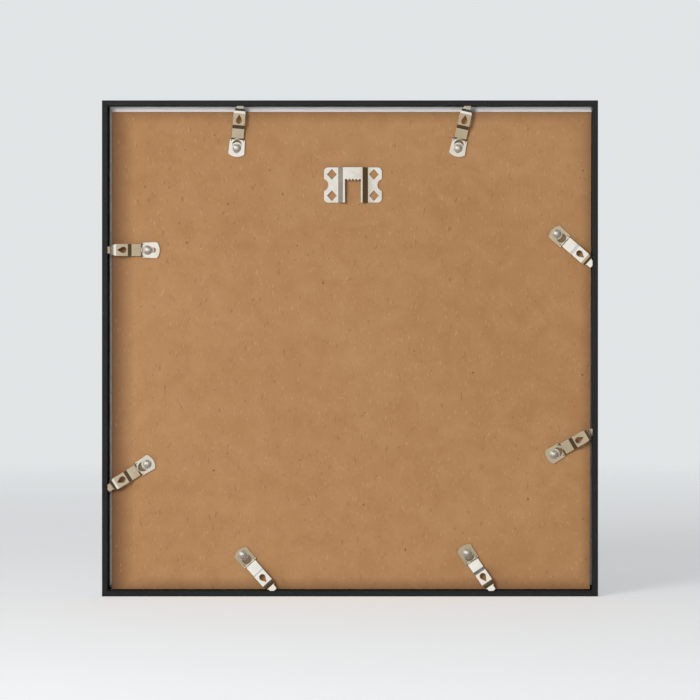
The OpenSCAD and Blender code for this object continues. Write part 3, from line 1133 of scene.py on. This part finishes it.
@dataclass(frozen=True)
class BackingBoard:
    """The hardboard with its raised fibres and dark specks."""

    edge: float = 0.25 * MM
    sharp: float = 50.0
    margin: float = 1.5 * MM
    grains: tuple[Grains, ...] = (
        Grains(
            "board_fibres",
            Fibre("pale_fibres", (0.37, 0.19, 0.075), (0.54, 0.33, 0.165)),
            size=(0.3 * MM, 0.07 * MM, 2.6 * MM),
            density=11000.0,
            lean=0.5,
            seed=4,
        ),
        Grains(
            "board_specks",
            Fibre("dark_specks", (0.12, 0.055, 0.025), (0.3, 0.15, 0.065)),
            size=(0.9 * MM, 0.06 * MM, 1.0 * MM),
            density=900.0,
            lean=1.4,
            seed=9,
        ),
    )

    def build(self, effects: EffectGroups, keyhole_shades: Iterable[Vector]) -> None:
        """Builds the board and what lies on its back.

        Args:
            effects: The shared node groups.
            keyhole_shades: Centres of the painted shade under the clips' keyholes.
        """
        board = cad_copy("backing_board", "hardboard_back")
        break_edges(board, self.edge, self.sharp)
        dress(settle(board), Hardboard(tuple(keyhole_shades)).build(effects))
        stand_for(board, "backing_board")
        tree = scatter_tree()
        for grains in self.grains:
            grains.build(tree, self.margin)


def lie_on_back(ahead: Vector) -> Vector:
    """Turn that lays local X along a direction and local Z out of the frame's back.

    Args:
        ahead: The direction, square to Y.

    Returns:
        The turn about each axis.
    """
    out = Vector((0, 1, 0))
    return Vector(Matrix((ahead, out.cross(ahead), out)).transposed().to_euler())


@dataclass(frozen=True)
class Hanger:
    """The sawtooth hanger: a hat of bent sheet over a toothed slot, with four pronged holes."""

    width: float = 38.6 * MM
    height: float = 23.6 * MM
    thickness: float = 0.8 * MM
    rise: float = 2.6 * MM
    foot: float = 9.9 * MM
    flat: float = 6.6 * MM
    slot_w: float = 10.5 * MM
    band_h: float = 8 * MM
    teeth: int = 4
    tooth_share: float = 2 / 3
    tooth_h: float = 1.1 * MM
    tooth_r: float = 0.08 * MM
    corner_r: float = 2.8 * MM
    scallop_r: float = 4 * MM
    scallop_out: float = 1.1 * MM
    hole_side: float = 14 * MM
    hole_up: float = 7.1 * MM
    hole_half: Pair = (3.2 * MM, 3.5 * MM)
    bend_r: float = 0.9 * MM
    prong_gap: float = 0.01 * MM
    arc_steps: int = 16
    bend_steps: int = 6
    edge: float = 0.08 * MM
    sharp: float = 40.0

    def outline(self) -> list[Point]:
        """Outline of the flat blank, with the nail slot open at its foot."""
        x, y = self.width / 2, self.height / 2
        wide = math.acos(self.scallop_out / self.scallop_r)
        turns = [wide * k / self.arc_steps for k in range(self.arc_steps, -self.arc_steps - 1, -1)]
        scallop = arc(x + self.scallop_out, -self.scallop_r, turns)
        side = [((self.slot_w / 2, -y), 0.0), ((x, -y), self.corner_r)]
        side += [(point, 0.0) for point in scallop] + [((x, y), self.corner_r)]
        loop = side + [((-px, py), radius) for (px, py), radius in reversed(side)]
        root, pitch = y - self.band_h, self.slot_w / (self.teeth + self.tooth_share)
        half_tooth = pitch * self.tooth_share / 2
        loop.append(((-self.slot_w / 2, root), 0.0))
        for k in range(self.teeth):
            tooth = (k - (self.teeth - 1) / 2) * pitch
            loop.append(((tooth - half_tooth, root), 0.0))
            loop.append(((tooth, root - self.tooth_h), self.tooth_r))
            loop.append(((tooth + half_tooth, root), 0.0))
        loop.append(((self.slot_w / 2, root), 0.0))
        return fillet(loop, self.bend_steps, closed=True)

    def holes(self) -> list[list[Point]]:
        """The four diamond holes of the flat blank."""
        wide, high = self.hole_half
        return [
            [(x + wide, y), (x, y + high), (x - wide, y), (x, y - high)]
            for x in (-self.hole_side, self.hole_side)
            for y in (-self.hole_up, self.hole_up)
        ]

    def line(self) -> list[Point]:
        """Line of the hat's underside across the hanger."""
        half = [(self.width / 2, 0.0), (self.foot, 0.0), (self.flat, self.rise)]
        points = [(-x, z) for x, z in half] + half[::-1]
        return fillet([(point, self.bend_r) for point in points], self.bend_steps, closed=False)

    def build(self, tree: GeometryTree, steel: bpy.types.Material) -> None:
        """Builds the hanger and its prongs.

        Args:
            tree: The tree that bends sheets.
            steel: Its material.
        """
        node = "sawtooth_hanger"
        low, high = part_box(node)
        back_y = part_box("backing_board")[1].y
        form = SheetForm(self.outline(), self.holes(), self.line())
        piece = tree.apply(
            "hanger_plated",
            form.blank(node),
            Thickness=self.thickness,
            Place=Vector(((low.x + high.x) / 2, back_y, (low.z + high.z) / 2)),
            Turn=lie_on_back(Vector((-1, 0, 0))),
            Material=steel,
        )
        settle(piece)
        break_edges(piece, self.edge, self.sharp)
        dress(settle(piece), steel)
        stand_for(piece, node)
        self._prongs(node, back_y, steel)

    def _prongs(self, node: str, back_y: float, steel: bpy.types.Material) -> None:
        """Builds the prongs, which are the part of the solid that is in the board."""
        prongs = cad_copy(node, "hanger_prongs")
        shape = bmesh.new()
        shape.from_mesh(prongs.data)
        cut = bmesh.ops.bisect_plane(
            shape,
            geom=[*shape.verts, *shape.edges, *shape.faces],
            plane_co=(0, back_y - self.prong_gap, 0),
            plane_no=(0, 1, 0),
            clear_outer=True,
        )
        rims = [part for part in cut["geom_cut"] if isinstance(part, bmesh.types.BMEdge)]
        bmesh.ops.holes_fill(shape, edges=rims)
        shape.to_mesh(prongs.data)
        shape.free()
        dress(prongs, steel)
        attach(prongs, frame["nodes"][node]["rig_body"])


@dataclass(frozen=True)
class FixingPlace:
    """Where a clip and its rivet stand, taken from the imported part."""

    name: str
    middle: Vector
    ahead: Vector
    back_y: float

    @classmethod
    def read(cls, name: str) -> "FixingPlace":
        """Reads the place of one clip from its joints.

        Args:
            name: The clip's place in the frame, such as top_left.

        Returns:
            The place.
        """
        joints = {joint["name"]: joint for joint in frame["joints"]}
        ahead = Vector(joints[f"slide_{name}"]["axis"]).normalized()
        middle = Vector(joints[f"swivel_{name}"]["pos_m"])
        back_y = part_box("backing_board")[1].y
        return cls(name, Vector((middle.x, back_y, middle.z)), ahead, back_y)


@dataclass(frozen=True)
class TurnClip:
    """A spring turn clip of bent strip, with a keyhole and a drop-shaped hole.

    Each bend has its share of the reach, its share of the tip's rise and its radius in mm.
    """

    thickness: float = 0.6 * MM
    reach: float = 27.6 * MM
    back: float = 8.3 * MM
    travel: float = 4.2 * MM
    seat: float = 0.4 * MM
    head_w: float = 10.9 * MM
    head_neck_w: float = 10 * MM
    head_end_r: float = 8.5 * MM
    strip_w: float = 8 * MM
    tip_w: float = 4.6 * MM
    flare_w: float = 5.8 * MM
    keyhole_r: float = 3.1 * MM
    slot_r: float = 1.65 * MM
    drop_r: float = 2.1 * MM
    drop_l: float = 4 * MM
    slit_w: float = 0.35 * MM
    slit_l: float = 1.8 * MM
    bends: tuple[tuple[float, float, float], ...] = (
        (0.118, 0.0, 0.5),
        (0.152, 0.24, 0.5),
        (0.382, 0.42, 0.9),
        (0.457, 0.9, 0.9),
        (0.745, 1.13, 1.0),
        (0.802, 1.12, 0.6),
        (0.862, 0.84, 0.2),
        (0.88, 0.89, 0.0),
    )
    neck_share: float = 0.138
    flare_share: float = 0.745
    tip_share: float = 0.88
    drop_share: float = 0.569
    tip_bevel_share: float = 0.12
    head_corner_share: float = 0.99
    head_corner_r: float = 0.5 * MM
    head_neck_r: float = 0.3 * MM
    flare_r: float = 1.2 * MM
    tip_corner_r: float = 0.2 * MM
    arc_steps: int = 20
    corner_steps: int = 4
    bend_steps: int = 6
    edge: float = 0.07 * MM
    sharp: float = 40.0

    def outline(self) -> list[Point]:
        """Outline of the flat blank, with the slits beside the bend open to it."""
        neck, slit = self.neck_share * self.reach, self.slit_w / 2
        flare, tip = self.flare_share * self.reach, self.tip_share * self.reach
        half_strip, half_tip = self.strip_w / 2, self.tip_w / 2
        bevel = self.tip_bevel_share * self.tip_w
        turn = math.asin(self.head_corner_share * self.head_w / 2 / self.head_end_r)
        turns = [-turn * k / self.arc_steps for k in range(self.arc_steps + 1)]
        start, *head, corner = arc(self.head_end_r - self.back, -self.head_end_r, turns)
        side = [
            (corner, self.head_corner_r),
            ((neck, self.head_neck_w / 2), self.head_neck_r),
            ((neck, half_strip + slit), 0.0),
            ((neck - self.slit_l, half_strip + slit), 0.0),
            ((neck - self.slit_l, half_strip - slit), 0.0),
            ((neck, half_strip - slit), 0.0),
            ((neck, half_strip), 0.0),
            ((flare, half_strip), self.flare_r),
            ((tip, self.flare_w / 2), 0.0),
            ((tip, half_tip), 0.0),
            ((self.reach - bevel, half_tip), self.tip_corner_r),
            ((self.reach, half_tip - bevel), self.tip_corner_r),
        ]
        half = [(point, 0.0) for point in head] + side
        mirrored = [((x, -y), radius) for (x, y), radius in reversed(half)]
        return fillet([(start, 0.0), *half, *mirrored], self.corner_steps, closed=True)

    def holes(self) -> list[list[Point]]:
        """Keyhole and drop-shaped hole of the flat blank."""
        shares = [k / (2 * self.arc_steps) for k in range(2 * self.arc_steps + 1)]
        mouth = math.asin(self.slot_r / self.keyhole_r)
        large = [math.pi - mouth - (math.tau - 2 * mouth) * share for share in shares]
        small = [-math.pi / 2 - math.pi * share for share in shares]
        keyhole = arc(0.0, self.keyhole_r, large) + arc(-self.travel, self.slot_r, small)
        centre = self.drop_share * self.reach
        tangent = math.acos(self.drop_r / self.drop_l)
        round_end = [tangent + (math.tau - 2 * tangent) * share for share in shares]
        drop = arc(centre, self.drop_r, round_end)
        return [keyhole, [*drop, (centre + self.drop_l, 0.0)]]

    def line(self, tip_height: float) -> list[Point]:
        """Side line of the bent strip's underside.

        Args:
            tip_height: Height of the tip's underside over the board.

        Returns:
            Places along the clip with their heights.
        """
        rise = tip_height - self.seat
        bends = [
            ((share * self.reach, self.seat + up * rise), radius * MM)
            for share, up, radius in self.bends
        ]
        start, end = ((-self.back, self.seat), 0.0), ((self.reach, tip_height), 0.0)
        return fillet([start, *bends, end], self.bend_steps, closed=False)

    def origin(self, place: FixingPlace) -> Vector:
        """Middle of the keyhole's large circle, found from where the solid's tip ends."""
        node = frame["nodes"][f"clip_{place.name}"]
        tip = max((v.co - place.middle).dot(place.ahead) for v in node.data.vertices)
        return place.middle + place.ahead * (tip - self.reach)

    def build(
        self, tree: GeometryTree, places: Iterable[FixingPlace], steel: bpy.types.Material
    ) -> None:
        """Builds one clip at each place.

        Args:
            tree: The tree that bends sheets.
            places: Where the clips stand.
            steel: Their material.
        """
        for place in places:
            node = f"clip_{place.name}"
            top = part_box(node)[1].y - place.back_y
            form = SheetForm(self.outline(), self.holes(), self.line(top - self.thickness))
            piece = tree.apply(
                f"{node}_plated",
                form.blank(node),
                Thickness=self.thickness,
                Place=self.origin(place),
                Turn=lie_on_back(place.ahead),
                Material=steel,
            )
            settle(piece)
            break_edges(piece, self.edge, self.sharp)
            dress(settle(piece), steel)
            stand_for(piece, node)


@dataclass(frozen=True)
class DomeRivet:
    """A rivet with a domed head, a cone-shaped collar under its clip and a clinched tail."""

    dome_r: float = 2.9 * MM
    dome_base: float = 1.05 * MM
    dome_rim: float = 0.3 * MM
    dome_h: float = 1.7 * MM
    shank_r: float = 1.5 * MM
    collar_r: float = 3.9 * MM
    collar_top_r: float = 1.9 * MM
    collar_foot: float = 0.05 * MM
    collar_t: float = 0.3 * MM
    tail_r: float = 2.6 * MM
    tail_t: float = 0.7 * MM
    tail_top: float = -2.15 * MM
    rim_round: float = 0.12 * MM
    axis_r: float = 0.001 * MM
    sides: int = 48
    dome_steps: int = 14
    rim_steps: int = 3
    sharp: float = 50.0

    def section(self) -> list[Point]:
        """Half section from the top of the dome down to the tail, X outwards and Y down."""
        ball = (self.dome_r**2 + self.dome_h**2) / (2 * self.dome_h)
        half = math.asin(self.dome_r / ball)
        top = self.dome_base + self.dome_rim + self.dome_h
        turns = [half * k / self.dome_steps for k in range(self.dome_steps + 1)]
        *dome, rim = [(y, x) for x, y in arc(top - ball, ball, turns)]
        collar_top = self.collar_foot + self.collar_t
        rest = [
            (self.shank_r, self.dome_base),
            (self.shank_r, collar_top),
            (self.collar_top_r, collar_top),
            (self.collar_r, self.collar_foot),
            (self.shank_r, self.collar_foot),
            (self.shank_r, self.tail_top),
            (self.tail_r, self.tail_top),
            (self.tail_r, self.tail_top - self.tail_t),
            (0.0, self.tail_top - self.tail_t),
        ]
        line = [(point, 0.0) for point in dome]
        line += [(rim, self.rim_round), ((self.dome_r, self.dome_base), self.rim_round)]
        line += [(point, 0.0) for point in rest]
        return [(x, -y) for x, y in fillet(line, self.rim_steps, closed=False)]

    def build(self, places: Iterable[FixingPlace], steel: bpy.types.Material) -> None:
        """Builds one rivet at each place.

        Args:
            places: Where the rivets stand.
            steel: Their material.
        """
        tree = turned_tree()
        section = self.section()
        for place in places:
            node = f"rivet_{place.name}"
            mesh = bpy.data.meshes.new(node)
            edges = [(k, k + 1) for k in range(len(section) - 1)]
            mesh.from_pydata([(x, y, 0.0) for x, y in section], edges, [])
            piece = tree.apply(
                f"{node}_plated",
                mesh,
                Sides=self.sides,
                Place=place.middle,
                Turn=lie_on_back(place.ahead),
                Material=steel,
                Axis_Radius=self.axis_r,
            )
            settle(piece).data.shade_smooth()
            piece.data.set_sharp_from_angle(angle=math.radians(self.sharp))
            dress(piece, steel)
            stand_for(piece, node)


@dataclass(frozen=True)
class Lamp:
    """Soft square lamp that faces the frame and that gloss doesn't see."""

    name: str
    place: Place
    size: float
    power: float
    colour: Colour

    def build(self) -> None:
        """Builds the lamp."""
        data = bpy.data.lights.new(self.name, "AREA")
        data.shape = "SQUARE"
        data.size = self.size
        data.energy = self.power
        data.color = self.colour
        lamp = add_object(self.name, data)
        lamp.location = self.place
        aim = MIDDLE - Vector(self.place)
        lamp.rotation_euler = aim.to_track_quat("-Z", "Y").to_euler()
        lamp.visible_glossy = False


@dataclass(frozen=True)
class Card:
    """Card that only gloss sees, as a bright or dim part of a room."""

    name: str
    place: Place
    size: Pair
    colour: Colour
    roll: float = 0.0
    target: Place = tuple(MIDDLE)

    def build(self) -> None:
        """Builds the card, with its face to its target."""
        place = Vector(self.place)
        turn = (Vector(self.target) - place).to_track_quat("Z", "Y").to_matrix()
        turn = turn @ Matrix.Rotation(math.radians(self.roll), 3, "Z")
        wide, high = self.size[0] / 2, self.size[1] / 2
        corners = [(-wide, -high), (wide, -high), (wide, high), (-wide, high)]
        mesh = quad(self.name, [turn @ Vector((x, y, 0)) + place for x, y in corners])
        card = add_object(self.name, mesh)
        finish = Finish(
            self.name,
            Base_Color=(0.0, 0.0, 0.0, 1.0),
            Specular_IOR_Level=0.0,
            Emission_Color=(*self.colour, 1.0),
            Emission_Strength=1.0,
        )
        mesh.materials.append(finish.material)
        for kind in ("camera", "diffuse", "shadow", "transmission"):
            setattr(card, f"visible_{kind}", False)


@dataclass(frozen=True)
class Studio:
    """Floor, lights, cards and the camera."""

    camera_distance: float = 2.2
    camera_reach: float = 50.0
    frame_width: float = 0.33
    frame_pixels: float = 496.2
    picture_pixels: float = 700.0
    centre_pixel: Point = (350.0, 348.4)
    sensor: float = 36.0
    backdrop: Colour = (0.755, 0.78, 0.79)
    ambient: Colour = (0.92, 0.96, 1.0)
    ambient_strength: float = 0.22
    floor_r: float = 3.0
    floor_sides: int = 96
    floor_colour: Colour = (0.8, 0.8, 0.8)
    floor_grain: float = 0.97
    floor_glow: Colour = (0.97, 0.99, 1.0)
    floor_glow_strength: float = 0.38
    floor_fade: Pair = (0.5, 2.6)
    lamps: tuple[Lamp, ...] = (
        Lamp("low_window", (2.3, 1.2, 0.45), 0.85, 12.0, (0.95, 0.98, 1.0)),
        Lamp("high_window", (1.15, 2.25, 0.75), 0.85, 46.0, (0.97, 0.99, 1.0)),
        Lamp("softbox", (0.35, 2.5, 1.15), 0.9, 5.0, (1.0, 0.98, 0.95)),
    )
    cards: tuple[Card, ...] = (
        Card("room_card", (0.0, 4.4, 0.3), (9.0, 5.0), (0.58, 0.48, 0.34)),
        Card("bright_card", (0.787, 2.45, 0.787), (2.0, 2.6), (1.02, 1.0, 0.955), roll=45.0),
        Card("window_card", (1.75, 1.35, 1.3), (1.4, 1.4), (1.4, 1.38, 1.33)),
        Card("left_card", (2.4, 0.5, 0.4), (2.6, 2.6), (0.42, 0.36, 0.31)),
        Card("right_card", (-2.2, 0.9, 0.6), (4.0, 3.0), (0.1, 0.066, 0.032)),
        Card("high_card", (0.0, 0.7, 2.1), (3.0, 2.4), (0.09, 0.085, 0.065)),
        Card(
            "low_card",
            (0.0, 0.25, -0.02),
            (3.0, 0.5),
            (0.1, 0.065, 0.035),
            target=(0.0, 0.25, 1.0),
        ),
    )

    def build(self) -> None:
        """Builds the whole studio."""
        self._camera()
        self._world()
        self._floor()
        for light in (*self.lamps, *self.cards):
            light.build()

    def _camera(self) -> None:
        """Camera square to the back, framed by two places in the picture."""
        data = bpy.data.cameras.new("camera")
        pixel = self.frame_width / self.frame_pixels
        data.sensor_width = self.sensor
        data.lens = self.sensor * self.camera_distance / (pixel * self.picture_pixels)
        data.clip_end = self.camera_reach
        half = self.picture_pixels / 2
        camera = add_object("camera", data)
        camera.location = (
            MIDDLE.x + (self.centre_pixel[0] - half) * pixel,
            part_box("rail_bottom")[1].y + self.camera_distance,
            MIDDLE.z + (self.centre_pixel[1] - half) * pixel,
        )
        camera.rotation_euler = (math.pi / 2, 0.0, math.pi)
        bpy.context.scene.camera = camera

    def _world(self) -> None:
        """Pale background for camera, gloss and glass, and plain soft light for the rest."""
        world = bpy.data.worlds.new("studio")
        world.use_nodes = True
        nodes = NodeBuilder(world.node_tree)
        world.node_tree.nodes.clear()
        path = nodes.add("ShaderNodeLightPath").outputs
        seen = nodes.math("ADD", path["Is Camera Ray"], path["Is Glossy Ray"], clamp=True)
        seen = nodes.math("ADD", seen, path["Is Transmission Ray"], clamp=True)
        ambient = nodes.add(
            "ShaderNodeBackground",
            {"Color": (*self.ambient, 1.0), "Strength": self.ambient_strength},
        )
        pale = nodes.add("ShaderNodeBackground", {"Color": (*self.backdrop, 1.0), "Strength": 1.0})
        mixed = nodes.add(
            "ShaderNodeMixShader", {0: seen, 1: ambient.outputs[0], 2: pale.outputs[0]}
        )
        nodes.add("ShaderNodeOutputWorld", {"Surface": mixed.outputs[0]})
        bpy.context.scene.world = world

    def _floor(self) -> None:
        """Wide pale floor under the frame that fades into the background."""
        shape = bmesh.new()
        bmesh.ops.create_circle(shape, cap_ends=True, radius=self.floor_r, segments=self.floor_sides)
        floor = add_object("floor", plain_mesh("floor", shape))
        finish = Finish(
            "pale_floor",
            Metallic=0.0,
            Specular_IOR_Level=0.2,
            Roughness=0.8,
            Emission_Color=(*self.floor_glow, 1.0),
            Emission_Strength=self.floor_glow_strength,
        )
        nodes = finish.nodes
        darker = [part * self.floor_grain for part in self.floor_colour]
        grain = finish.cloud(scale=220.0, detail=3.0)
        finish.join(Base_Color=nodes.mix(grain, self.floor_colour, darker))
        away = nodes.add("ShaderNodeVectorMath", {0: finish.coordinates}, operation="LENGTH")
        fade = nodes.span(away.outputs["Value"], *self.floor_fade)
        clear = nodes.add("ShaderNodeBsdfTransparent")
        mixed = nodes.add(
            "ShaderNodeMixShader", {0: fade, 1: finish.shader.outputs[0], 2: clear.outputs[0]}
        )
        output = nodes.tree.nodes["Material Output"]
        nodes.tree.links.new(mixed.outputs[0], output.inputs["Surface"])
        floor.data.materials.append(finish.material)
        floor.visible_glossy = False


def main() -> None:
    """Builds the dressed frame and its studio."""
    logging.basicConfig(level=logging.INFO, format="%(name)s: %(message)s")
    bpy.context.scene.view_settings.view_transform = "Standard"
    effects = EffectGroups.build()
    coat = CoatedMetal("black_coat", (0.0092, 0.0099, 0.0109))
    casting = CoatedMetal("black_casting", (0.009, 0.009, 0.0095))
    hanger_steel = PlatedSteel("hanger_plating", (0.79, 0.785, 0.755), (0.7, 0.69, 0.65))
    clip_steel = PlatedSteel("clip_plating", (0.83, 0.82, 0.78), (0.74, 0.72, 0.665))
    rivet_steel = PlatedSteel(
        "rivet_plating",
        (0.84, 0.82, 0.77),
        (0.77, 0.75, 0.69),
        roughness=(0.28, 0.36),
        metallic=0.74,
    )
    names = [body.removeprefix("clip_") for body in frame["bodies"] if body.startswith("clip_")]
    places = [FixingPlace.read(name) for name in names]
    clips = TurnClip()
    RailSet().build(coat.build(effects), casting.build(effects))
    PictureStack().build(effects)
    # The clips' keyhole centres, where shade is painted on the board.
    BackingBoard().build(effects, [clips.origin(place) for place in places])
    bending = bent_sheet_tree()
    Hanger().build(bending, hanger_steel.build(effects))
    clips.build(bending, places, clip_steel.build(effects))
    DomeRivet().build(places, rivet_steel.build(effects))
    Studio().build()


if __name__ == "__main__":
    main()
